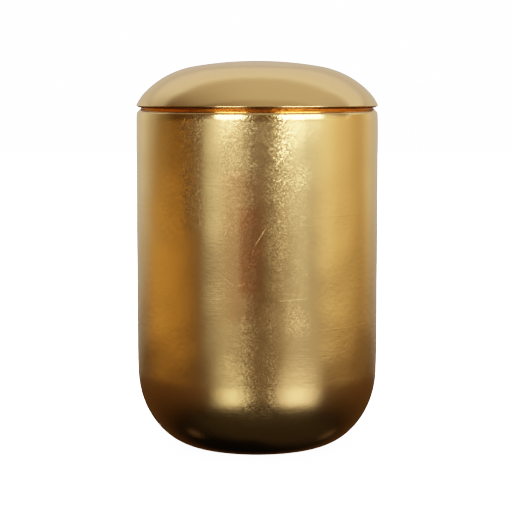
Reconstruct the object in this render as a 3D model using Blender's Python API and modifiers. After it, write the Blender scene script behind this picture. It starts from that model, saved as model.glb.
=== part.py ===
# Round cremation urn with a domed lift-off lid, turned from two closed profiles.
# Units are metres, +Z is up, and the origin is the centre of the underside.
import math

import bmesh
import bpy

# Vessel
BODY_DIAMETER = 0.180      # straight outer wall
BODY_HEIGHT = 0.2532       # standing surface to the rim
WALL = 0.006               # side wall
FLOOR = 0.006              # thickness of the bottom
BASE_DIAMETER = 0.0825     # flat that the urn stands on
CORNER_HEIGHT = 0.059      # height of the rounded bottom corner, a quarter ellipse
SHOULDER_RADIUS = 0.0045   # rounding of the rim's outer edge
MOUTH_CHAMFER = 0.0005     # eased inner edge of the rim
RIM_LAND = 0.001           # least flat width left on the rim for the lid to rest on

# Lid
LID_OVERHANG = 0.0001      # how far the lid's widest line stands out past the vessel, each side
LID_RISE = 0.0335          # widest line to the top of the dome
CROWN_RADIUS = 0.2845      # shallow middle of the dome
HAUNCH_RADIUS = 0.0638     # rounder outer part of the dome
EDGE_RADIUS = 0.0045       # where the dome turns down to its widest line
UNDER_RADIUS = 0.0012      # where the widest line turns in to the seat
LID_WALL = 0.005           # thickness of the dome

# Locating ring under the lid, which drops into the mouth
RING_DEPTH = 0.008
RING_WALL = 0.004
RING_CHAMFER = 0.001       # lead-in on the ring's outer edge
RING_CLEARANCE = 0.0008    # ring to mouth, all round
SEAT_GAP = 0.0003          # lid seat to rim

SIDES = 64                 # facets round every turned piece
CORNER_STEPS = 12
INNER_CORNER_STEPS = 9
CROWN_STEPS = 4
HAUNCH_STEPS = 9
EDGE_STEPS = 4
SHARP_ANGLE = math.radians(35)

body_radius = BODY_DIAMETER / 2
base_radius = BASE_DIAMETER / 2
mouth_radius = body_radius - WALL
lid_radius = body_radius + LID_OVERHANG
seat_height = BODY_HEIGHT + SEAT_GAP
widest_height = seat_height + UNDER_RADIUS
ring_radius = mouth_radius - RING_CLEARANCE


def arc(centre, radii, start, end, steps):
    """Points on an ellipse's arc; angles are measured from +Z towards +X, in radians."""
    points = []
    for i in range(steps + 1):
        angle = start + (end - start) * i / steps
        points.append((centre[0] + radii[0] * math.sin(angle), centre[1] + radii[1] * math.cos(angle)))
    return points


def without_repeats(points):
    """Drops a point that lies on the one before it, as where two arcs meet."""
    kept = [points[0]]
    for point in points[1:]:
        if math.dist(point, kept[-1]) > 1e-6:
            kept.append(point)
    return kept


def body_profile():
    """Closed section of the vessel, from the middle of its floor round to the middle of its base."""
    quarter = math.pi / 2
    shoulder = min(SHOULDER_RADIUS, WALL - RIM_LAND - MOUTH_CHAMFER)
    corner_width = body_radius - base_radius
    points = [(0, FLOOR)]
    points += arc((base_radius, CORNER_HEIGHT), (corner_width - WALL, CORNER_HEIGHT - FLOOR),
                  2 * quarter, quarter, INNER_CORNER_STEPS)
    points += [(mouth_radius, BODY_HEIGHT - MOUTH_CHAMFER), (mouth_radius + MOUTH_CHAMFER, BODY_HEIGHT)]
    points += arc((body_radius - shoulder, BODY_HEIGHT - shoulder), (shoulder, shoulder),
                  0, quarter, EDGE_STEPS)
    points += arc((base_radius, CORNER_HEIGHT), (corner_width, CORNER_HEIGHT),
                  quarter, 2 * quarter, CORNER_STEPS)
    points += [(0, 0)]
    return without_repeats(points)


def dome_centres():
    """Centres of the crown and haunch arcs, and the angles where the crown and the haunch end.

    The crown's centre is on the axis. The haunch touches the crown from inside and ends on the
    edge rounding, whose centre is the foot.
    """
    foot = (lid_radius - EDGE_RADIUS, widest_height)
    crown = (0, widest_height + LID_RISE - CROWN_RADIUS)
    reach = (foot[0] - crown[0], foot[1] - crown[1])
    distance = math.hypot(*reach)
    to_haunch = CROWN_RADIUS - HAUNCH_RADIUS
    from_haunch = HAUNCH_RADIUS - EDGE_RADIUS
    along = (distance ** 2 + to_haunch ** 2 - from_haunch ** 2) / (2 * distance)
    across = math.sqrt(to_haunch ** 2 - along ** 2)
    unit = (reach[0] / distance, reach[1] / distance)
    haunch = (crown[0] + along * unit[0] - across * unit[1], crown[1] + along * unit[1] + across * unit[0])
    crown_end = math.atan2(haunch[0] - crown[0], haunch[1] - crown[1])
    haunch_end = math.atan2(foot[0] - haunch[0], foot[1] - haunch[1])
    return crown, haunch, foot, crown_end, haunch_end


def lid_profile():
    """Closed section of the lid, from the top of the dome over the rim and back inside it."""
    quarter = math.pi / 2
    crown, haunch, foot, crown_end, haunch_end = dome_centres()
    points = arc(crown, (CROWN_RADIUS, CROWN_RADIUS), 0, crown_end, CROWN_STEPS)
    points += arc(haunch, (HAUNCH_RADIUS, HAUNCH_RADIUS), crown_end, haunch_end, HAUNCH_STEPS)
    points += arc(foot, (EDGE_RADIUS, EDGE_RADIUS), haunch_end, quarter, EDGE_STEPS)
    points += arc((lid_radius - UNDER_RADIUS, widest_height), (UNDER_RADIUS, UNDER_RADIUS),
                  quarter, 2 * quarter, EDGE_STEPS)

    ring_bottom = seat_height - RING_DEPTH
    ring_inside = ring_radius - RING_WALL
    points += [
        (ring_radius, seat_height),
        (ring_radius, ring_bottom + RING_CHAMFER),
        (ring_radius - RING_CHAMFER, ring_bottom),
        (ring_inside, ring_bottom),
    ]
    inner_haunch = HAUNCH_RADIUS - LID_WALL
    inner_crown = CROWN_RADIUS - LID_WALL
    meets_ring = math.asin((ring_inside - haunch[0]) / inner_haunch)
    points += arc(haunch, (inner_haunch, inner_haunch), meets_ring, crown_end, HAUNCH_STEPS)
    points += arc(crown, (inner_crown, inner_crown), crown_end, 0, CROWN_STEPS)
    return without_repeats(points)


def gold_material(name, colour, roughness):
    material = bpy.data.materials.new(name)
    material.use_nodes = True
    shader = material.node_tree.nodes["Principled BSDF"]
    shader.inputs["Base Color"].default_value = (*colour, 1)
    shader.inputs["Metallic"].default_value = 1
    shader.inputs["Roughness"].default_value = roughness
    material.diffuse_color = (*colour, 1)
    return material


def turned_piece(name, profile, material, collection):
    """Turns a section round the Z axis and returns the finished object."""
    section = bpy.data.meshes.new(name + "_section")
    edges = [(i, i + 1) for i in range(len(profile) - 1)]
    section.from_pydata([(x, 0, z) for x, z in profile], edges, [])
    piece = bpy.data.objects.new(name, section)
    collection.objects.link(piece)

    screw = piece.modifiers.new("Turn", "SCREW")
    screw.axis = "Z"
    screw.angle = math.tau
    screw.steps = SIDES
    screw.render_steps = SIDES
    screw.use_merge_vertices = True
    screw.merge_threshold = 1e-5

    # The turned surface becomes the piece's own mesh, so that its real corners can be kept sharp.
    turned = bpy.data.meshes.new_from_object(piece.evaluated_get(bpy.context.evaluated_depsgraph_get()))
    piece.modifiers.clear()
    piece.data = turned
    bpy.data.meshes.remove(section)
    turned.name = name
    cleaned = bmesh.new()
    cleaned.from_mesh(turned)
    bmesh.ops.remove_doubles(cleaned, verts=cleaned.verts, dist=1e-5)
    bmesh.ops.dissolve_degenerate(cleaned, edges=cleaned.edges, dist=1e-6)
    cleaned.to_mesh(turned)
    cleaned.free()
    turned.shade_smooth()
    turned.set_sharp_from_angle(angle=SHARP_ANGLE)
    turned.materials.append(material)
    return piece


def build():
    for old in list(bpy.data.objects):
        bpy.data.objects.remove(old)
    urn = bpy.data.collections.new("cremation_urn")
    bpy.context.scene.collection.children.link(urn)
    leafed = gold_material("gold_leaf", (0.74, 0.54, 0.23), 0.30)
    polished = gold_material("burnished_gold", (0.78, 0.62, 0.34), 0.22)
    turned_piece("urn_body", body_profile(), leafed, urn)
    turned_piece("lid", lid_profile(), polished, urn)


build()
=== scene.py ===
import math

import bpy
import numpy as np
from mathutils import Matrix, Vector


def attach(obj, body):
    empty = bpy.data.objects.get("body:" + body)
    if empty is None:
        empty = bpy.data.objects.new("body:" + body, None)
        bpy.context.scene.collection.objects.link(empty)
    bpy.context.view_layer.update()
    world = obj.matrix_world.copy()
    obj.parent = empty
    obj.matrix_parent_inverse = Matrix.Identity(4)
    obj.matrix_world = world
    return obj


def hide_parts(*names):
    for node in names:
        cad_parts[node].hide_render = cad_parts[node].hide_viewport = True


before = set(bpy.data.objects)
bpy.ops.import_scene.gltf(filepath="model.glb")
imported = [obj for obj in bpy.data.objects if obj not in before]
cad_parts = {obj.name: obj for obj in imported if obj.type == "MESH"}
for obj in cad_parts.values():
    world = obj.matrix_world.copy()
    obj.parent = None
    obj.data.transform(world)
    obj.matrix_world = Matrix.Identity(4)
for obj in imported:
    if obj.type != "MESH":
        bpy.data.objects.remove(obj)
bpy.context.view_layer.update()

# Cremation urn: a moulded shell and a domed lift-off lid, both covered in gold leaf.
# Metres throughout, Z up, the urn stands on the origin and the camera looks along +Y.
# Angles round the urn are measured from the side that faces the camera, positive to its right.

scene = bpy.context.scene
print("frame loaded:", ", ".join(sorted(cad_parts)))


def linearColour(hexCode):
    # sRGB hex to linear: divided by 12.92 near black, else the 2.4 power of the offset value
    channels = [int(hexCode[i:i + 2], 16) / 255 for i in (1, 3, 5)]
    return [c / 12.92 if c <= 0.04045 else ((c + 0.055) / 1.055) ** 2.4 for c in channels] + [1.0]


def addNode(tree, kind, inputs=None, **settings):
    # adds one node: settings are its properties, inputs are values or the sockets to link from
    node = tree.nodes.new("ShaderNode" + kind)
    for name, value in settings.items():
        setattr(node, name, value)
    for socket, value in (inputs or {}).items():
        if isinstance(value, bpy.types.NodeSocket):
            tree.links.new(value, node.inputs[socket])
        else:
            node.inputs[socket].default_value = value
    return node


cameraView = {
    "distance": 1.303,      # m from the urn's axis
    "height": 0.2675,       # m above the surface it stands on
    "sideways": -0.00086,   # m, the photograph's small shift
    "pitch": 5.49,          # degrees down
    "lens": 122.5,          # mm on a 36 mm sensor
}

cameraData = bpy.data.cameras.new("camera")
cameraData.lens = cameraView["lens"]
cameraData.sensor_width = 36
cameraData.dof.use_dof = False
camera = bpy.data.objects.new("camera", cameraData)
camera.location = (cameraView["sideways"], -cameraView["distance"], cameraView["height"])
camera.rotation_euler = (math.radians(90 - cameraView["pitch"]), 0, 0)
scene.collection.objects.link(camera)
scene.camera = camera


def arcPoints(centre, radii, start, end, steps):
    # points of an ellipse's arc: centre + radii * (sin, cos) of angles in degrees from +Z towards +X
    angles = np.radians(np.linspace(start, end, steps + 1))
    return np.stack([centre[0] + radii[0] * np.sin(angles), centre[1] + radii[1] * np.cos(angles)], axis=1)


def linePoints(first, last, steps):
    # evenly spaced points from first to last
    share = np.linspace(0, 1, steps + 1)[:, None]
    return np.asarray(first) * (1 - share) + np.asarray(last) * share


def towards(degrees):
    # unit vector at an angle from +Z towards +X
    return np.array([math.sin(math.radians(degrees)), math.cos(math.radians(degrees))])


def joinPaths(*paths):
    # one path from several, without a point that repeats the one before it
    points = np.concatenate(paths)
    keep = np.concatenate([[True], np.linalg.norm(np.diff(points, axis=0), axis=1) > 1e-6])
    return points[keep]


def waves(rng, count, shortest, longest, radius):
    # random waves round a cylinder: whole numbers of waves round it, wavelengths between the two in metres
    lengths = rng.uniform(shortest, longest, count)
    headings = rng.uniform(0, math.tau, count)
    around = np.round(np.cos(headings) * math.tau * radius / lengths)
    upward = np.sin(headings) * math.tau / lengths
    phases = rng.uniform(0, math.tau, count)
    return around, upward, phases, lengths


def unevenness(angle, height, recipe):
    # sum of the waves, each as high as it is long, so that its slope is the same, scaled to the stated slope
    rng = np.random.default_rng(recipe["seed"])
    around, upward, phases, lengths = waves(rng, recipe["waves"], recipe["shortest"], recipe["longest"],
                                            recipe["radius"])
    total = np.zeros(np.broadcast(angle, height).shape)
    for k in range(recipe["waves"]):
        total += lengths[k] * np.cos(around[k] * angle + upward[k] * height + phases[k])
    return total * recipe["slope"] / (math.tau * math.sqrt(recipe["waves"] / 2))


creaseAngle = 40            # degrees, edges sharper than this stay sharp


def turnedSurface(name, path, outerRows, columns, relief, seamAngle):
    # A surface of revolution of the path (radius, height): point = (r sin a, -r cos a, z), moved along
    # the path's own normal by relief(a, z) on its outer rows. Both ends lie on the axis and close as fans.
    # UV is the length round the wall and the height, both in metres.
    tangent = np.gradient(path, axis=0)
    tangent /= np.linalg.norm(tangent, axis=1)[:, None]
    normal = np.stack([tangent[:, 1], -tangent[:, 0]], axis=1)
    middleRow = outerRows[len(outerRows) // 2]
    if path[middleRow] @ normal[middleRow] < 0:
        normal = -normal
    rows = path[1:-1]
    rowNormal = normal[1:-1]
    weight = np.zeros(len(path))
    weight[outerRows] = 1
    weight = weight[1:-1, None]
    angle = seamAngle + math.tau * np.arange(columns) / columns
    push = relief(angle[None, :], rows[:, 1:2]) * weight
    radius = rows[:, 0:1] + push * rowNormal[:, 0:1]
    height = rows[:, 1:2] + push * rowNormal[:, 1:2]
    grid = np.stack([radius * np.sin(angle), -radius * np.cos(angle), height], axis=2).reshape(-1, 3)
    poles = np.array([[0, 0, path[0, 1]], [0, 0, path[-1, 1]]])
    vertices = np.concatenate([grid, poles])

    rowCount = len(rows)
    j, i = np.meshgrid(np.arange(rowCount - 1), np.arange(columns), indexing="ij")
    nextI = (i + 1) % columns
    below = j * columns
    above = below + columns
    quads = np.stack([below + i, below + nextI, above + nextI, above + i], axis=2).reshape(-1, 4)
    ring = np.arange(columns)
    nextRing = (ring + 1) % columns
    firstFan = np.stack([np.full(columns, len(grid)), nextRing, ring], axis=1)
    lastRow = (rowCount - 1) * columns
    lastFan = np.stack([np.full(columns, len(grid) + 1), lastRow + ring, lastRow + nextRing], axis=1)

    loops = np.concatenate([quads.ravel(), firstFan.ravel(), lastFan.ravel()])
    sides = np.concatenate([np.full(len(quads), 4), np.full(2 * columns, 3)])
    mesh = bpy.data.meshes.new(name)
    mesh.vertices.add(len(vertices))
    mesh.vertices.foreach_set("co", vertices.ravel())
    mesh.loops.add(len(loops))
    mesh.loops.foreach_set("vertex_index", loops)
    mesh.polygons.add(len(sides))
    mesh.polygons.foreach_set("loop_start", np.concatenate([[0], np.cumsum(sides)[:-1]]))
    mesh.polygons.foreach_set("loop_total", sides)

    # UV of each corner; the last column runs on past the seam and doesn't jump back to 0
    perimeter = math.tau * path[:, 0].max()
    step = perimeter / columns
    quadU = np.stack([i, i + 1, i + 1, i], axis=2).reshape(-1, 4) * step
    quadV = vertices[quads][:, :, 2]
    firstU = np.stack([ring + 0.5, ring + 1, ring], axis=1) * step
    lastU = np.stack([ring + 0.5, ring, ring + 1], axis=1) * step
    allU = np.concatenate([quadU.ravel(), firstU.ravel(), lastU.ravel()])
    allV = np.concatenate([quadV.ravel(), vertices[firstFan.ravel()][:, 2], vertices[lastFan.ravel()][:, 2]])
    mesh.uv_layers.new(name="wall").data.foreach_set("uv", np.stack([allU, allV], axis=1).ravel())
    mesh.update(calc_edges=True)
    mesh.validate()

    # the path may run either way, so the faces are turned to look out of the shell
    corners = vertices[quads]
    facing = np.cross(corners[:, 1] - corners[:, 0], corners[:, 2] - corners[:, 0])
    if np.einsum("ij,ij->i", corners[:, 0], facing).sum() < 0:
        mesh.flip_normals()
    mesh.shade_smooth()
    mesh.set_sharp_from_angle(angle=math.radians(creaseAngle))
    piece = bpy.data.objects.new(name, mesh)
    scene.collection.objects.link(piece)
    return piece


def finishInside(piece, columns, lastOuterRow):
    # the faces of the path's rows past the outer ones, and the last fan, take the second material
    row = np.arange(len(piece.data.polygons)) // columns
    chosen = row >= lastOuterRow
    chosen[-2 * columns:-columns] = False
    piece.data.polygons.foreach_set("material_index", chosen.astype(np.int32))


vessel = {
    "radius": 0.090,            # m, straight outer wall
    "height": 0.2532,           # m, to the flat of the rim
    "wall": 0.006,
    "floor": 0.006,
    "baseRadius": 0.0415,       # m, flat that the urn stands on
    "cornerHeight": 0.059,      # m, of the rounded bottom corner, a quarter ellipse
    "footLean": 1.3,            # degrees that the wall has leaned in by where the corner starts
    "footRadius": 1.05,         # m, the very large arc of that lean
    "leanFrom": 0.2453,         # m, the wall turns in very slightly here
    "leanRadius": 0.030,
    "leanEnd": 86.4,            # degrees from +Z, of the wall's normal where that turn ends
    "taper": 0.0017,            # m, length of the straight taper from there up to the shoulder
    "shoulder": 0.0024,         # m, radius of the turn from the taper to the bevel
    "bevelAngle": 46.3,         # degrees from +Z, of the normal of the bevel round the rim
    "bevelEdge": 0.0004,        # m, rounding from the bevel to the flat of the rim
    "mouthChamfer": 0.0005,     # m, eased inner edge of the rim
    "columns": 512,             # points round the urn
    "hand": {"seed": 11, "waves": 44, "shortest": 0.017, "longest": 0.080, "radius": 0.090, "slope": 0.007},
    "handFrom": 0.004,          # m up, where that unevenness of the hand-laid finish begins to come in
    "handIn": 0.03,             # m, the height over which it comes in
    "handOut": 0.006,           # m, and goes out again below the rim
}

wallSeam = -183.9           # degrees, where the wall's UV starts, which sets where the laps fall

leaf = {                        # what is the same on both pieces
    "colour": "#FFE29B",        # pure gold, which colours what it reflects
    "wearAndPaintedShadeColour": "#E9AD72",  # leaf rubbed thin over the red clay ground; the same darker colour is also painted as shade in the seam under the lid's edge, and as a redder reflection tone at the front
    "size": 0.0808,             # m, a standard leaf is 80 mm square
    "lapRise": 0.0385,          # m, height of the first row of laps
    "lapWidth": 0.0005,         # m; a real lap's edge is too fine to show and is drawn as wide as it needs
    "columnShift": 0.28,        # share of a leaf by which every second column is set off
    "smoothest": 0.75,          # share of the grain on the smoothest leaf
    "roughest": 1.15,           # and on the roughest
    "patchSize": 0.018,         # m, patches where the leaf was pressed less
    "patchFrom": 0.38,          # value of the patches' noise where one begins
    "patchTo": 0.6,             # and where it is full
    "patchFloor": 0.5,          # share of the grain that is left between the patches
    "wearAndToneFloor": 0.7,           # share of the wear, and of the painted reflection tone, that is left between them
    "puckerFloor": 0.35,        # share of the puckers that is left outside the bands of grain
    "bandFade": 0.006,          # m, half the height over which a band comes in or goes out
    "scratchFade": 0.003,       # m, over which the ends of a scratch fade
}

leafOnVessel = {
    "lapDepth": 0.000012,       # m
    "roughness": 0.215,
    "haze": 0.06,               # roughness added where the grain is full
    "polishedFrom": 0.2435,     # m up, the rim is rubbed brighter from here
    "polishedTo": 0.2460,
    "polish": 0.7,              # share of the roughness that is left there
    "grainSize": 0.0009,        # m, facets of crumpled leaf; real ones are finer and would not show
    "grainTilt": 0.19,          # spread of the facets' tilt along each axis, as a share of the normal
    "puckerSize": 0.0040,       # m, slower puckers under the grain
    "puckerDepth": 0.00009,
    "grainFloor": 0.05,         # share of the grain that is left between the bands
    "grainBands": [             # middle and half width in degrees, low and high in metres, share
        (5, 10, 0.120, 0.260, 0.75), (0, 8, 0.030, 0.120, 0.8), (18, 6, 0.095, 0.215, 0.55),
        (-11, 6, 0.070, 0.260, 0.30), (-31, 5, 0.165, 0.260, 0.7), (78, 10, 0.020, 0.200, 0.3),
        (128, 30, 0.060, 0.260, 0.4), (-160, 34, 0.000, 0.210, 0.35), (-98, 22, 0.090, 0.260, 0.2),
    ],
    "brushLength": 0.007,       # m, marks of the brush that pressed the leaf down
    "brushWidth": 0.0015,
    "brushDepth": 0.000055,
    "brushFloor": 0.12,         # share of the marks that is left between the bands
    "brushBands": [
        (-15, 8, 0.090, 0.165, 0.6), (-15, 8, 0.165, 0.240, 0.3), (27, 9, 0.045, 0.085, 0.6),
        (95, 15, 0.040, 0.220, 0.5), (165, 20, 0.040, 0.240, 0.6), (-120, 15, 0.040, 0.200, 0.5),
    ],
    "wearAndReflectionToneBands": [            # where the leaf is rubbed thin; the two at the front middle also paint a redder tone into the dark reflection there
        (-3, 6, 0.122, 0.188, 1.0), (-6, 9, 0.104, 0.208, 0.5), (140, 14, 0.100, 0.220, 0.7),
        (-130, 10, 0.060, 0.180, 0.6),
    ],
    "seamShadeFrom": 0.2526,       # m up, from here to the flat of the rim, where the lid seats on it, the gold is painted darker and redder as shade in the seam
    "seamShadeTo": 0.2532,
    "scratchWidth": 0.00040,    # m; real hairlines are finer, these are as wide as show
    "scratchDepth": 0.00004,
    "scratches": [              # from and to, each in degrees round and metres up, then the share
        (4.5, 0.1720, -1.4, 0.1566, 1.0), (-1.4, 0.1566, -2.6, 0.1485, 0.8),
        (-19.0, 0.1395, -9.5, 0.1285, 0.5), (-9.5, 0.1285, -4.3, 0.1325, 0.7),
        (8.5, 0.1190, 25.0, 0.1200, 0.4), (-14.0, 0.2060, -10.0, 0.1930, 0.3),
        (37.0, 0.0870, 49.0, 0.0900, 0.3), (-60.0, 0.1650, -66.0, 0.1480, 0.6),
        (102.0, 0.1950, 110.0, 0.1700, 0.8), (150.0, 0.1300, 162.0, 0.1420, 0.8),
    ],
}

leafOnLid = {
    "lapDepth": 0.000006,
    "roughness": 0.19,
    "haze": 0.02,
    "polishedFrom": 0.2585,     # m up, the lid's edge is rubbed brighter below here
    "polishedTo": 0.2562,
    "polish": 0.8,
    "grainSize": 0.0011,
    "grainTilt": 0.012,
    "puckerSize": 0.009,
    "puckerDepth": 0.00007,
    "grainFloor": 0.5,
    "grainBands": [(20, 40, 0.250, 0.300, 0.8)],
    "brushLength": 0.03,
    "brushWidth": 0.0009,
    "brushDepth": 0.00001,
    "brushFloor": 0.5,
    "brushBands": [(0, 60, 0.250, 0.300, 0.8)],
    "wearAndReflectionToneBands": [(-150, 25, 0.255, 0.280, 0.5)],
    "seamShadeFrom": 0.2550,       # m up, below here, under the edge, the gold is painted darker and redder as shade
    "seamShadeTo": 0.2546,
    "scratchWidth": 0.00045,
    "scratchDepth": 0.00002,
    "scratches": [(30.0, 0.2760, 52.0, 0.2735, 0.8)],
}


def goldLeaf(name, finish):
    # Gold leaf laid by hand over glue, which gilders call size, on a sealed shell: a metal mirror, hazed in
    # bands by crumpled grain, with puckers, brush marks, hairline scratches and the laps of each leaf. Pure
    # metal, so it has no coat.
    material = bpy.data.materials.new(name)
    material.use_nodes = True
    tree = material.node_tree
    shader = tree.nodes["Principled BSDF"]
    place = addNode(tree, "TexCoord").outputs["Object"]
    axes = addNode(tree, "SeparateXYZ", {"Vector": place}).outputs
    toFront = addNode(tree, "Math", {0: axes["Y"], 1: -1.0}, operation="MULTIPLY").outputs[0]
    angle = addNode(tree, "Math", {0: axes["X"], 1: toFront}, operation="ARCTAN2").outputs[0]
    wall = addNode(tree, "UVMap", uv_map="wall").outputs["UV"]

    def bandShare(bands, floor):
        # the greatest of the bands: across, each is full within half its half width and gone past one and
        # a half times it; upward, it comes in at its low edge and goes out at its high edge
        share = floor
        for middle, half, low, high, most in bands:
            away = addNode(tree, "Math", {0: angle, 1: math.radians(middle)},
                           operation="SUBTRACT").outputs[0]
            wrapped = addNode(tree, "Math", {0: away, 1: math.pi, 2: -math.pi}, operation="WRAP").outputs[0]
            distance = addNode(tree, "Math", {0: wrapped}, operation="ABSOLUTE").outputs[0]
            band = addNode(tree, "MapRange", {"Value": distance, "To Min": most, "To Max": 0.0,
                                              "From Min": math.radians(half * 0.5),
                                              "From Max": math.radians(half * 1.5)},
                           interpolation_type="SMOOTHSTEP").outputs["Result"]
            for edge, below, above in ((low, 0.0, 1.0), (high, 1.0, 0.0)):
                reach = addNode(tree, "MapRange", {"Value": axes["Z"], "To Min": below, "To Max": above,
                                                   "From Min": edge - leaf["bandFade"],
                                                   "From Max": edge + leaf["bandFade"]},
                                interpolation_type="SMOOTHSTEP").outputs["Result"]
                band = addNode(tree, "Math", {0: band, 1: reach}, operation="MULTIPLY").outputs[0]
            share = addNode(tree, "Math", {0: band, 1: share}, operation="MAXIMUM").outputs[0]
        return share

    # laps: leaves laid in columns, every second column set off, and no two leaves quite alike
    split = addNode(tree, "SeparateXYZ", {"Vector": wall}).outputs
    fromLap = addNode(tree, "Math", {0: split["Y"], 1: leaf["lapRise"]}, operation="SUBTRACT").outputs[0]
    turned = addNode(tree, "CombineXYZ", {"X": fromLap, "Y": split["X"]}).outputs["Vector"]
    leaves = addNode(tree, "TexBrick", {"Vector": turned, "Scale": 1.0, "Mortar Size": leaf["lapWidth"],
                                        "Mortar Smooth": 0.2, "Brick Width": leaf["size"],
                                        "Row Height": leaf["size"], "Color1": (0, 0, 0, 1),
                                        "Color2": (1, 1, 1, 1)}, offset=leaf["columnShift"])
    leafShare = addNode(tree, "MapRange", {"Value": leaves.outputs["Color"], "To Min": leaf["smoothest"],
                                           "To Max": leaf["roughest"]}).outputs["Result"]

    # grain: fine facets in patches, each tilted its own way, where the leaf crumpled on soft size
    facet = addNode(tree, "TexVoronoi", {"Vector": place, "Scale": 1 / finish["grainSize"]}).outputs["Color"]
    patches = addNode(tree, "TexNoise", {"Vector": place, "Scale": 1 / leaf["patchSize"], "Detail": 3.0,
                                         "Roughness": 0.6}).outputs["Fac"]
    patchShare = addNode(tree, "MapRange", {"Value": patches, "From Min": leaf["patchFrom"],
                                            "From Max": leaf["patchTo"], "To Min": leaf["patchFloor"],
                                            "To Max": 1.0}).outputs["Result"]
    banded = bandShare(finish["grainBands"], finish["grainFloor"])
    perLeaf = addNode(tree, "Math", {0: banded, 1: leafShare}, operation="MULTIPLY").outputs[0]
    grainShare = addNode(tree, "Math", {0: patchShare, 1: perLeaf, 2: 0.0}, operation="MULTIPLY_ADD",
                         use_clamp=True).outputs[0]
    tilt = addNode(tree, "Math", {0: grainShare, 1: finish["grainTilt"]}, operation="MULTIPLY").outputs[0]
    offLevel = addNode(tree, "VectorMath", {0: facet, 1: (0.5, 0.5, 0.5)}, operation="SUBTRACT").outputs[0]
    tilted = addNode(tree, "VectorMath", {0: offLevel, "Scale": tilt}, operation="SCALE").outputs[0]
    surface = addNode(tree, "NewGeometry").outputs["Normal"]
    leaned = addNode(tree, "VectorMath", {0: surface, 1: tilted}, operation="ADD").outputs[0]
    grained = addNode(tree, "VectorMath", {0: leaned}, operation="NORMALIZE").outputs[0]

    # puckers: in the same bands, a few millimetres across
    pucker = addNode(tree, "TexNoise", {"Vector": place, "Scale": 1 / finish["puckerSize"], "Detail": 2.0,
                                        "Roughness": 0.5}).outputs["Fac"]
    puckerShare = addNode(tree, "MapRange", {"Value": banded, "To Min": leaf["puckerFloor"],
                                             "To Max": 1.0}).outputs["Result"]
    puckered = addNode(tree, "Bump", {"Strength": puckerShare, "Distance": finish["puckerDepth"],
                                      "Height": pucker, "Normal": grained}).outputs["Normal"]

    # brush marks: noise stretched round the urn
    stretched = addNode(tree, "Mapping", {"Vector": place,
                                          "Scale": (1 / finish["brushLength"], 1 / finish["brushLength"],
                                                    1 / finish["brushWidth"])}).outputs["Vector"]
    marks = addNode(tree, "TexNoise", {"Vector": stretched, "Scale": 1.0, "Detail": 2.0}).outputs["Fac"]
    brushed = addNode(tree, "Bump", {"Strength": bandShare(finish["brushBands"], finish["brushFloor"]),
                                     "Distance": finish["brushDepth"], "Height": marks,
                                     "Normal": puckered}).outputs["Normal"]

    # scratches: 1 on each straight line and 0 at half its width, with faded ends
    scratched = 0.0
    for fromAngle, fromHeight, toAngle, toHeight, most in finish["scratches"]:
        start = np.array([math.radians(fromAngle - wallSeam) * vessel["radius"], fromHeight])
        run = np.array([math.radians(toAngle - wallSeam) * vessel["radius"], toHeight]) - start
        length = float(np.linalg.norm(run))
        offset = addNode(tree, "VectorMath", {0: wall, 1: (*(start + run / 2), 0)},
                         operation="SUBTRACT").outputs[0]
        along = addNode(tree, "VectorMath", {0: offset, 1: (*(run / length), 0)},
                        operation="DOT_PRODUCT").outputs["Value"]
        across = addNode(tree, "VectorMath", {0: offset, 1: (-run[1] / length, run[0] / length, 0)},
                         operation="DOT_PRODUCT").outputs["Value"]
        fromMiddle = addNode(tree, "Math", {0: along}, operation="ABSOLUTE").outputs[0]
        fromLine = addNode(tree, "Math", {0: across}, operation="ABSOLUTE").outputs[0]
        within = addNode(tree, "MapRange", {"Value": fromMiddle, "To Min": most, "To Max": 0.0,
                                            "From Min": length / 2 - leaf["scratchFade"],
                                            "From Max": length / 2}).outputs["Result"]
        line = addNode(tree, "MapRange", {"Value": fromLine, "To Min": 1.0, "To Max": 0.0,
                                          "From Max": finish["scratchWidth"] / 2}).outputs["Result"]
        mark = addNode(tree, "Math", {0: within, 1: line}, operation="MULTIPLY").outputs[0]
        scratched = addNode(tree, "Math", {0: mark, 1: scratched}, operation="MAXIMUM").outputs[0]
    cut = addNode(tree, "Bump", {"Strength": 1.0, "Distance": finish["scratchDepth"], "Height": scratched,
                                 "Normal": brushed}).outputs["Normal"]
    lapped = addNode(tree, "Bump", {"Strength": 0.5, "Distance": finish["lapDepth"],
                                    "Height": leaves.outputs["Fac"], "Normal": cut}).outputs["Normal"]
    tree.links.new(lapped, shader.inputs["Normal"])

    # the grain hazes the mirror, and the edges at the rim are rubbed brighter
    hazed = addNode(tree, "MapRange", {"Value": grainShare, "To Min": finish["roughness"],
                                       "To Max": finish["roughness"] + finish["haze"]}).outputs["Result"]
    polished = addNode(tree, "MapRange", {"Value": axes["Z"], "From Min": finish["polishedFrom"],
                                          "From Max": finish["polishedTo"], "To Min": 1.0,
                                          "To Max": finish["polish"]}).outputs["Result"]
    roughness = addNode(tree, "Math", {0: hazed, 1: polished}, operation="MULTIPLY").outputs[0]
    tree.links.new(roughness, shader.inputs["Roughness"])

    # where the leaf is rubbed thin, the red clay under it warms the gold, and the two front bands also paint
    # a redder tone into the reflection there; where lid and rim meet, the same darker colour is painted as
    # shade in the seam
    wearAndTonePatches = addNode(tree, "MapRange", {"Value": patches, "From Min": leaf["patchFrom"],
                                      "From Max": leaf["patchTo"], "To Min": leaf["wearAndToneFloor"],
                                      "To Max": 1.0}).outputs["Result"]
    # wear, and at the front middle a painted redder reflection tone
    wearAndReflectionTone = addNode(tree, "Math", {0: bandShare(finish["wearAndReflectionToneBands"], 0.0), 1: wearAndTonePatches},
                     operation="MULTIPLY").outputs[0]
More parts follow.
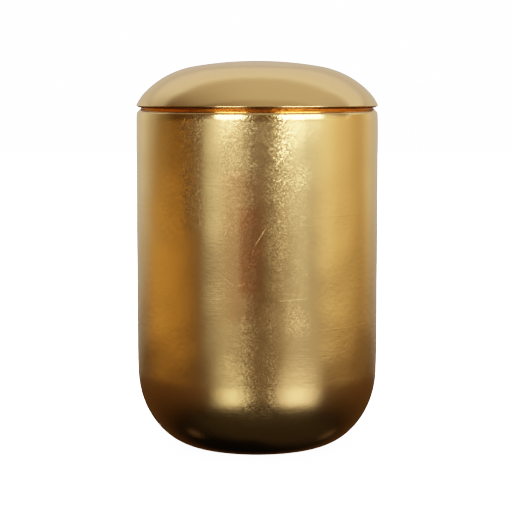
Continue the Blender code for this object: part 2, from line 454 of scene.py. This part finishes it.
    # painted shade: darker, redder gold in the seam between rim and lid
    seamShade = addNode(tree, "MapRange", {"Value": axes["Z"], "From Min": finish["seamShadeFrom"],
                                        "From Max": finish["seamShadeTo"]}).outputs["Result"]
    wearAndPaintedShade = addNode(tree, "Math", {0: wearAndReflectionTone, 1: seamShade}, operation="MAXIMUM").outputs[0]
    tint = addNode(tree, "Mix", {0: wearAndPaintedShade, 6: linearColour(leaf["colour"]),
                                 7: linearColour(leaf["wearAndPaintedShadeColour"])}, data_type="RGBA").outputs[2]
    tree.links.new(tint, shader.inputs["Base Color"])
    shader.inputs["Metallic"].default_value = 1.0
    return material


shellInside = {
    "darkColour": "#8F8676",
    "lightColour": "#B5AC9B",
    "mottleSize": 0.004,        # m, clumps of fibre in the resin
    "mottleDepth": 0.0003,
    "roughness": 0.75,
}


def mouldedShell(name, finish):
    # Bare moulded resin and fibre inside the shell: matt, warm grey, with a faint mottle from the fibre
    material = bpy.data.materials.new(name)
    material.use_nodes = True
    tree = material.node_tree
    shader = tree.nodes["Principled BSDF"]
    place = addNode(tree, "TexCoord").outputs["Object"]
    mottle = addNode(tree, "TexNoise", {"Vector": place, "Scale": 1 / finish["mottleSize"],
                                        "Detail": 4.0}).outputs["Fac"]
    ramp = addNode(tree, "ValToRGB", {"Fac": mottle})
    ramp.color_ramp.elements[0].color = linearColour(finish["darkColour"])
    ramp.color_ramp.elements[1].color = linearColour(finish["lightColour"])
    ramp.color_ramp.elements[0].position = 0.35
    ramp.color_ramp.elements[1].position = 0.65
    tree.links.new(ramp.outputs["Color"], shader.inputs["Base Color"])
    rough = addNode(tree, "Bump", {"Strength": 0.4, "Distance": finish["mottleDepth"],
                                   "Height": mottle}).outputs["Normal"]
    tree.links.new(rough, shader.inputs["Normal"])
    shader.inputs["Roughness"].default_value = finish["roughness"]
    shader.inputs["IOR"].default_value = 1.5
    return material


def vesselSurface(size):
    # the turned path: flat base, quarter-ellipse corner, a large arc up into the straight wall, the rim, then
    # back down inside at the thickness of the wall and floor
    wall = size["wall"]
    corner = size["radius"] - size["baseRadius"]
    low = size["cornerHeight"]
    inner = size["radius"] - wall
    # the corner's ellipse stops where its slope is that of the large arc above it
    footLean = math.radians(size["footLean"])
    cornerStop = math.atan(math.tan(footLean) * low / corner)
    wallFoot = size["radius"] - size["footRadius"] * (1 - math.cos(footLean))
    cornerReach = (wallFoot - size["baseRadius"]) / math.cos(cornerStop)
    footTop = low * (1 - math.sin(cornerStop)) + size["footRadius"] * math.sin(footLean)
    # the upper arcs each start where the last ends: lean, taper, shoulder, bevel and the rim's edge
    leanCentre = np.array([size["radius"] - size["leanRadius"], size["leanFrom"]])
    leanFoot = leanCentre + size["leanRadius"] * towards(size["leanEnd"])
    taperTop = leanFoot + size["taper"] * towards(size["leanEnd"] - 90)
    shoulderCentre = taperTop - size["shoulder"] * towards(size["leanEnd"])
    bevelFoot = shoulderCentre + size["shoulder"] * towards(size["bevelAngle"])
    rise = (size["height"] - size["bevelEdge"] - bevelFoot[1]
            + size["bevelEdge"] * towards(size["bevelAngle"])[1])
    bevelTop = bevelFoot + rise * np.array([-1 / math.tan(math.radians(size["bevelAngle"])), 1])
    edgeCentre = bevelTop - size["bevelEdge"] * towards(size["bevelAngle"])
    flatSteps = 8
    outside = joinPaths(
        linePoints((0, 0), (size["baseRadius"], 0), flatSteps),
        arcPoints((size["baseRadius"], low), (cornerReach, low), 180, 90 + math.degrees(cornerStop), 44),
        arcPoints((size["radius"] - size["footRadius"], footTop), (size["footRadius"],) * 2,
                  90 + size["footLean"], 90, 14),
        linePoints((size["radius"], footTop), (size["radius"], size["leanFrom"]), 60),
        arcPoints(leanCentre, (size["leanRadius"],) * 2, 90, size["leanEnd"], 6),
        linePoints(leanFoot, taperTop, 2),
        arcPoints(shoulderCentre, (size["shoulder"],) * 2, size["leanEnd"], size["bevelAngle"], 8),
        linePoints(bevelFoot, bevelTop, 3),
        arcPoints(edgeCentre, (size["bevelEdge"],) * 2, size["bevelAngle"], 0, 5),
    )
    print("rim: bevel from", np.round(bevelFoot * 1000, 2), "to", np.round(bevelTop * 1000, 2), "mm")
    mouthFoot = (inner, size["height"] - size["mouthChamfer"])
    inside = joinPaths(
        outside[-1:],
        linePoints((inner + size["mouthChamfer"], size["height"]), mouthFoot, 1),
        linePoints(mouthFoot, (inner, low), 14),
        arcPoints((size["baseRadius"], low), (corner - wall, low - size["floor"]), 90, 180, 14),
        linePoints((size["baseRadius"], size["floor"]), (0, size["floor"]), 4),
    )
    path = joinPaths(outside, inside)

    def relief(angle, height):
        # the hand-laid unevenness fades out at the base and the rim
        fade = np.clip((height - size["handFrom"]) / size["handIn"], 0, 1)
        fade = fade * np.clip((size["height"] - height) / size["handOut"], 0, 1)
        return unevenness(angle, height, size["hand"]) * fade

    outerRows = np.arange(flatSteps + 1, len(outside))      # all but the flat that it stands on
    piece = turnedSurface("vessel", path, outerRows, size["columns"], relief, math.radians(wallSeam))
    piece.data.materials.append(goldLeaf("gold leaf", leafOnVessel))
    piece.data.materials.append(mouldedShell("moulded shell", shellInside))
    finishInside(piece, size["columns"], len(outside) - 1)
    return piece


vesselPiece = vesselSurface(vessel)
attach(vesselPiece, "root")
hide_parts("urn_body")
print("vessel built:", len(vesselPiece.data.vertices), "points")


lid = {
    "seat": 0.2535,             # m above the surface that the urn stands on
    "rise": 0.0347,             # m, seat to the top of the dome
    "crownRadius": 0.275,       # m, shallow middle of the dome
    "haunchRadius": 0.0667,     # m, rounder outer part
    "haunchCentre": (0.03589, 0.21838),
    "haunchEnd": 45,            # degrees from +Z
    "brow": 0.0341,             # m, radius of the tighter turn below the haunch
    "browEnd": 66.1,
    "lip": 0.0009,              # m, radius of the edge itself
    "under": 0.0003,            # m, rounding under the edge
    "soffitRadius": 0.0894,     # m, the flat under the edge runs in to here
    "seatRadius": 0.0885,       # m, and a bevel from there down to the seat at this radius
    "wall": 0.005,
    "ringRadius": 0.0832,
    "ringWall": 0.004,
    "ringDepth": 0.008,
    "ringChamfer": 0.001,
    "columns": 512,
    "hand": {"seed": 5, "waves": 24, "shortest": 0.03, "longest": 0.070, "radius": 0.090, "slope": 0.004},
    "heightStretch": 2,         # the dome rises little, so its height counts double in the unevenness
    "topFade": 0.004,           # m, over which the unevenness goes out below the very top
    "handFrom": 0.002,          # m above the seat, where it begins to come in
    "handIn": 0.006,            # m, the height over which it comes in
}


def lidSurface(size):
    # arcs that each start where the last ends, with the same tangent: crown, haunch, brow, lip and the turn
    # under it, then a narrow flat and a bevel down to the seat, which leave a shadow line over the rim
    haunchX, haunchZ = size["haunchCentre"]
    crownZ = size["seat"] + size["rise"] - size["crownRadius"]
    crownEnd = math.degrees(math.atan2(haunchX, haunchZ - crownZ))
    haunchFoot = np.array(size["haunchCentre"]) + size["haunchRadius"] * towards(size["haunchEnd"])
    browCentre = haunchFoot - size["brow"] * towards(size["haunchEnd"])
    browFoot = browCentre + size["brow"] * towards(size["browEnd"])
    lipCentre = browFoot - size["lip"] * towards(size["browEnd"])
    lipRadius = lipCentre[0] + size["lip"]
    underCentre = np.array([lipRadius - size["under"], lipCentre[1]])
    soffit = lipCentre[1] - size["under"]
    outside = joinPaths(
        arcPoints((0, crownZ), (size["crownRadius"],) * 2, 0, crownEnd, 26),
        arcPoints((haunchX, haunchZ), (size["haunchRadius"],) * 2, crownEnd, size["haunchEnd"], 30),
        arcPoints(browCentre, (size["brow"],) * 2, size["haunchEnd"], size["browEnd"], 14),
        arcPoints(lipCentre, (size["lip"],) * 2, size["browEnd"], 90, 6),
        arcPoints(underCentre, (size["under"],) * 2, 90, 180, 5),
        linePoints(underCentre - (0, size["under"]), (size["soffitRadius"], soffit), 2),
        linePoints((size["soffitRadius"], soffit), (size["seatRadius"], size["seat"]), 3),
    )
    print("lid edge: widest", round(lipRadius * 1000, 2), "mm at", round(lipCentre[1] * 1000, 2), "mm")
    ring = size["ringRadius"]
    ringIn = ring - size["ringWall"]
    ringLow = size["seat"] - size["ringDepth"]
    innerHaunch = size["haunchRadius"] - size["wall"]
    innerCrown = size["crownRadius"] - size["wall"]
    meetsRing = math.degrees(math.asin((ringIn - haunchX) / innerHaunch))
    inside = joinPaths(
        outside[-1:],
        linePoints((ring, size["seat"]), (ring, ringLow + size["ringChamfer"]), 3),
        linePoints((ring - size["ringChamfer"], ringLow), (ringIn, ringLow), 2),
        arcPoints((haunchX, haunchZ), (innerHaunch,) * 2, meetsRing, crownEnd, 14),
        arcPoints((0, crownZ), (innerCrown,) * 2, crownEnd, 0, 8),
    )
    path = joinPaths(outside, inside)

    def relief(angle, height):
        # unevenness of the dome, gone at its top, where all the columns meet, and at the seat
        fade = np.clip((size["seat"] + size["rise"] - height) / size["topFade"], 0, 1)
        fade = fade * np.clip((height - size["seat"] - size["handFrom"]) / size["handIn"], 0, 1)
        return unevenness(angle, height * size["heightStretch"], size["hand"]) * fade

    outerRows = np.arange(1, len(outside))
    piece = turnedSurface("lidDome", path, outerRows, size["columns"], relief, math.radians(wallSeam))
    piece.data.materials.append(goldLeaf("burnished gold leaf", leafOnLid))
    piece.data.materials.append(bpy.data.materials["moulded shell"])
    finishInside(piece, size["columns"], len(outside) - 1)
    return piece


lidPiece = lidSurface(lid)
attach(lidPiece, "root")
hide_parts("lid")
print("lid built:", len(lidPiece.data.vertices), "points")


studio = {
    "white": 5.2,               # radiance of the backdrop
    "filmWhite": 5.5,           # radiance at which the film curve ends
    "floorLight": 9.0,          # radiance of the floor, past white as in the photograph
    "floorColour": "#F4F4F4",
    "floorSize": 12.0,
    "floorDrop": 0.0002,        # m, keeps the floor clear of the urn's underside
    "warmWhite": "#FFF8F2",
    "softboxes": [              # degrees round the urn, metres, and radiance
        {"name": "leftStrip", "azimuth": -24.2, "distance": 0.62, "width": 0.300,
         "low": 0.296, "high": 0.50, "radiance": 9.6},
        {"name": "rightStrip", "azimuth": 31.8, "distance": 0.62, "width": 0.244,
         "low": 0.270, "high": 0.50, "radiance": 11.5},
        {"name": "farRightStrip", "azimuth": 50.6, "distance": 0.62, "width": 0.204,
         "low": 0.290, "high": 0.50, "radiance": 8.6},
    ],
}


def softbox(place, tint):
    # a rectangular lamp facing the urn; its power is radiance times pi times its area
    height = place["high"] - place["low"]
    lamp = bpy.data.lights.new(place["name"], "AREA")
    lamp.shape = "RECTANGLE"
    lamp.size = place["width"]
    lamp.size_y = height
    lamp.energy = place["radiance"] * math.pi * place["width"] * height
    lamp.color = linearColour(tint)[:3]
    body = bpy.data.objects.new(place["name"], lamp)
    turn = math.radians(place["azimuth"])
    reach = place["distance"] + vessel["radius"]
    body.location = (reach * math.sin(turn), -reach * math.cos(turn), (place["low"] + place["high"]) / 2)
    inward = Vector((0, 0, body.location.z)) - body.location
    body.rotation_euler = inward.to_track_quat("-Z", "Y").to_euler()
    body.visible_camera = False
    scene.collection.objects.link(body)


for place in studio["softboxes"]:
    softbox(place, studio["warmWhite"])


# Cards round the studio, as the urn sees them: middle and half width, low and high edge, soft edges across
# and upright, all in degrees, then colour and radiance. An "overhead" card runs over the urn from the back:
# its height is the angle from the back's horizon up over the top, and its middle is its lean to the side.
cards = [
    {"name": "backWall", "kind": "overhead", "middle": -3, "half": 58, "low": -7.5, "high": 28, "soft": 43,
     "softUp": 12, "colour": "#FFF5EC", "radiance": 0.72},
    {"name": "backCloth", "kind": "overhead", "middle": 18, "half": 72, "low": 30, "high": 62, "soft": 57,
     "softUp": 12, "colour": "#FFF1EF", "radiance": 0.95},
    {"name": "ceiling", "kind": "overhead", "middle": 18, "half": 55, "low": 59, "high": 116, "soft": 84,
     "softUp": 12, "colour": "#FFEDDD", "radiance": 0.63},
    {"name": "ceilingFront", "kind": "overhead", "middle": 24, "half": 50, "low": 116, "high": 150,
     "soft": 70, "softUp": 12, "colour": "#FFE9D2", "radiance": 0.42},
    {"name": "amberSide", "kind": "level", "middle": -94, "half": 29, "low": -7.3, "high": -4.6, "soft": 41,
     "softUp": 3.2, "colour": "#FFB859", "radiance": 1.26},
    {"name": "amberTop", "kind": "level", "middle": -118, "half": 27, "low": -3.7, "high": 15, "soft": 15,
     "softUp": 4, "colour": "#FFDEA3", "radiance": 0.14},
    {"name": "warmSide", "kind": "level", "middle": 80, "half": 21, "low": -7.2, "high": 5, "soft": 28,
     "softUp": 3.4, "colour": "#FFD59E", "radiance": 1.05},
    {"name": "tanSide", "kind": "level", "middle": 118, "half": 17, "low": -6.9, "high": 15, "soft": 20,
     "softUp": 3.2, "colour": "#FFCE8C", "radiance": 0.54},
    {"name": "rightFill", "kind": "level", "middle": 54, "half": 24, "low": -3.8, "high": 30, "soft": 18,
     "softUp": 14, "colour": "#FFFBF0", "radiance": 0.53},
    {"name": "leftFill", "kind": "level", "middle": -42, "half": 9, "low": -4.8, "high": 3.5, "soft": 12,
     "softUp": 4.5, "colour": "#FFF6E4", "radiance": 1.00},
    {"name": "leftSheen", "kind": "level", "middle": -26, "half": 15, "low": -0.2, "high": 7, "soft": 17,
     "softUp": 5, "colour": "#FF9A6A", "radiance": 0.30},
    {"name": "leftShelf", "kind": "level", "middle": -24, "half": 13, "low": -2.7, "high": 6, "soft": 14,
     "softUp": 1.6, "colour": "#FFF0DC", "radiance": 0.85},
    {"name": "rightSheen", "kind": "level", "middle": 29, "half": 15, "low": -0.3, "high": 5, "soft": 22,
     "softUp": 4, "colour": "#FFDEA7", "radiance": 0.80},
    {"name": "leftGlow", "kind": "level", "middle": -24.4, "half": 11.5, "low": -34, "high": -12.3,
     "soft": 25, "softUp": 5, "colour": "#FFF0D8", "radiance": 1.8},
    {"name": "rightGlow", "kind": "level", "middle": 39.5, "half": 16, "low": -33, "high": -11.6, "soft": 29,
     "softUp": 5, "colour": "#FFECDC", "radiance": 1.95},
    {"name": "leftLamp", "kind": "level", "middle": -121, "half": 7, "low": -56, "high": -50, "soft": 7,
     "softUp": 5, "colour": "#FFC8A0", "radiance": 0.11},
    {"name": "rightLamp", "kind": "level", "middle": 137, "half": 6, "low": -49, "high": -43, "soft": 7,
     "softUp": 5, "colour": "#FFC8A0", "radiance": 0.11},
    {"name": "underGlow", "kind": "level", "middle": 25, "half": 120, "low": -99, "high": -45, "soft": 60,
     "softUp": 14, "colour": "#FFCC99", "radiance": 0.02},
]
dim = {"colour": "#FFAB64", "radiance": 0.08, "low": -31, "softUp": 38}     # the room beyond the cards


def studioWorld(white, cards, dim):
    # white to the camera; to everything else the sum of the cards, each a soft-edged window in direction
    world = bpy.data.worlds.new("studio")
    world.use_nodes = True
    tree = world.node_tree
    shader = tree.nodes["Background"]
    direction = addNode(tree, "TexCoord").outputs["Generated"]
    parts = addNode(tree, "SeparateXYZ", {"Vector": direction}).outputs
    toFront = addNode(tree, "Math", {0: parts["Y"], 1: -1.0}, operation="MULTIPLY").outputs[0]
    around = addNode(tree, "Math", {0: parts["X"], 1: toFront}, operation="ARCTAN2").outputs[0]
    upward = addNode(tree, "Math", {0: parts["Z"]}, operation="ARCSINE").outputs[0]

    def window(value, edge, soft, rising):
        # 0 to 1 across an edge of the stated softness
        start = math.radians(edge - soft / 2)
        end = math.radians(edge + soft / 2)
        low, high = (0.0, 1.0) if rising else (1.0, 0.0)
        return addNode(tree, "MapRange", {"Value": value, "From Min": start, "From Max": end, "To Min": low,
                                          "To Max": high}, interpolation_type="SMOOTHSTEP").outputs["Result"]

    def lit(source, share):
        # the source's colour times its radiance, times the share of it that is seen
        colour = [c * source["radiance"] for c in linearColour(source["colour"])[:3]]
        return addNode(tree, "VectorMath", {0: colour, "Scale": share}, operation="SCALE").outputs[0]

    total = lit(dim, window(upward, dim["low"], dim["softUp"], True))
    over = addNode(tree, "Math", {0: parts["Z"], 1: parts["Y"]}, operation="ARCTAN2").outputs[0]
    sideways = addNode(tree, "Math", {0: parts["X"]}, operation="ARCSINE").outputs[0]
    for card in cards:
        # the angle away from the card's middle, wrapped to half a turn
        acrossAngle, uprightAngle = (around, upward) if card["kind"] == "level" else (sideways, over)
        away = addNode(tree, "Math", {0: acrossAngle, 1: math.radians(card["middle"])},
                       operation="SUBTRACT").outputs[0]
        wrapped = addNode(tree, "Math", {0: away, 1: math.pi, 2: -math.pi}, operation="WRAP").outputs[0]
        offMiddle = addNode(tree, "Math", {0: wrapped}, operation="ABSOLUTE").outputs[0]
        across = window(offMiddle, card["half"], card["soft"], False)
        above = window(uprightAngle, card["low"], card["softUp"], True)
        below = window(uprightAngle, card["high"], card["softUp"], False)
        upright = addNode(tree, "Math", {0: above, 1: below}, operation="MULTIPLY").outputs[0]
        share = addNode(tree, "Math", {0: across, 1: upright}, operation="MULTIPLY").outputs[0]
        total = addNode(tree, "VectorMath", {0: total, 1: lit(card, share)}, operation="ADD").outputs[0]
    seen = addNode(tree, "LightPath").outputs["Is Camera Ray"]
    mixed = addNode(tree, "Mix", {0: seen, 6: total, 7: (white, white, white, 1)}, data_type="RGBA")
    tree.links.new(mixed.outputs[2], shader.inputs["Color"])
    scene.world = world


studioWorld(studio["white"], cards, dim)


def paleFloor(size, drop, colour, light):
    # one large matt plane just under the urn, lit by a lamp of its own, unshaded and unseen by the gold
    mesh = bpy.data.meshes.new("floor")
    half = size / 2
    corners = [(-half, -half, -drop), (half, -half, -drop), (half, half, -drop), (-half, half, -drop)]
    mesh.from_pydata(corners, [], [(0, 1, 2, 3)])
    floor = bpy.data.objects.new("floor", mesh)
    scene.collection.objects.link(floor)
    material = bpy.data.materials.new("pale floor")
    material.use_nodes = True
    shader = material.node_tree.nodes["Principled BSDF"]
    shader.inputs["Base Color"].default_value = linearColour(colour)
    shader.inputs["Roughness"].default_value = 0.9
    shader.inputs["Specular IOR Level"].default_value = 0.0
    mesh.materials.append(material)
    floor.visible_glossy = False
    floor.visible_diffuse = False
    floor.visible_shadow = False

    lamp = bpy.data.lights.new("overFloor", "SUN")
    lamp.angle = math.radians(120)
    lamp.energy = light * math.pi / linearColour(colour)[0]
    lamp.use_shadow = False
    over = bpy.data.objects.new("overFloor", lamp)
    scene.collection.objects.link(over)
    receivers = bpy.data.collections.new("floorOnly")
    receivers.objects.link(floor)
    over.light_linking.receiver_collection = receivers


paleFloor(studio["floorSize"], studio["floorDrop"], studio["floorColour"], studio["floorLight"])
print("studio ready:", len(cards), "cards and", len(studio["softboxes"]), "softboxes")


def filmCurve(whiteLevel):
    # exposure that saturates as film does: 1 - exp(-light), drawn as the curve before the display's own
    settings = scene.view_settings
    settings.view_transform = "Standard"
    settings.look = "None"
    settings.exposure = 0
    settings.gamma = 1
    settings.use_curve_mapping = True
    mapping = settings.curve_mapping
    mapping.white_level = (whiteLevel,) * 3
    curve = mapping.curves[3]
    # radiances at which the curve is set, closer together where it bends
    lights = [0.0, 0.15, 0.35, 0.6, 0.9, 1.3, 1.8, 2.4, 3.2, 4.2, whiteLevel]
    for light in lights[1:-1]:
        curve.points.new(light / whiteLevel, 1 - math.exp(-light))
    curve.points[0].location = (0, 0)
    curve.points[len(lights) - 1].location = (1, 1 - math.exp(-whiteLevel))
    mapping.update()


filmCurve(studio["filmWhite"])
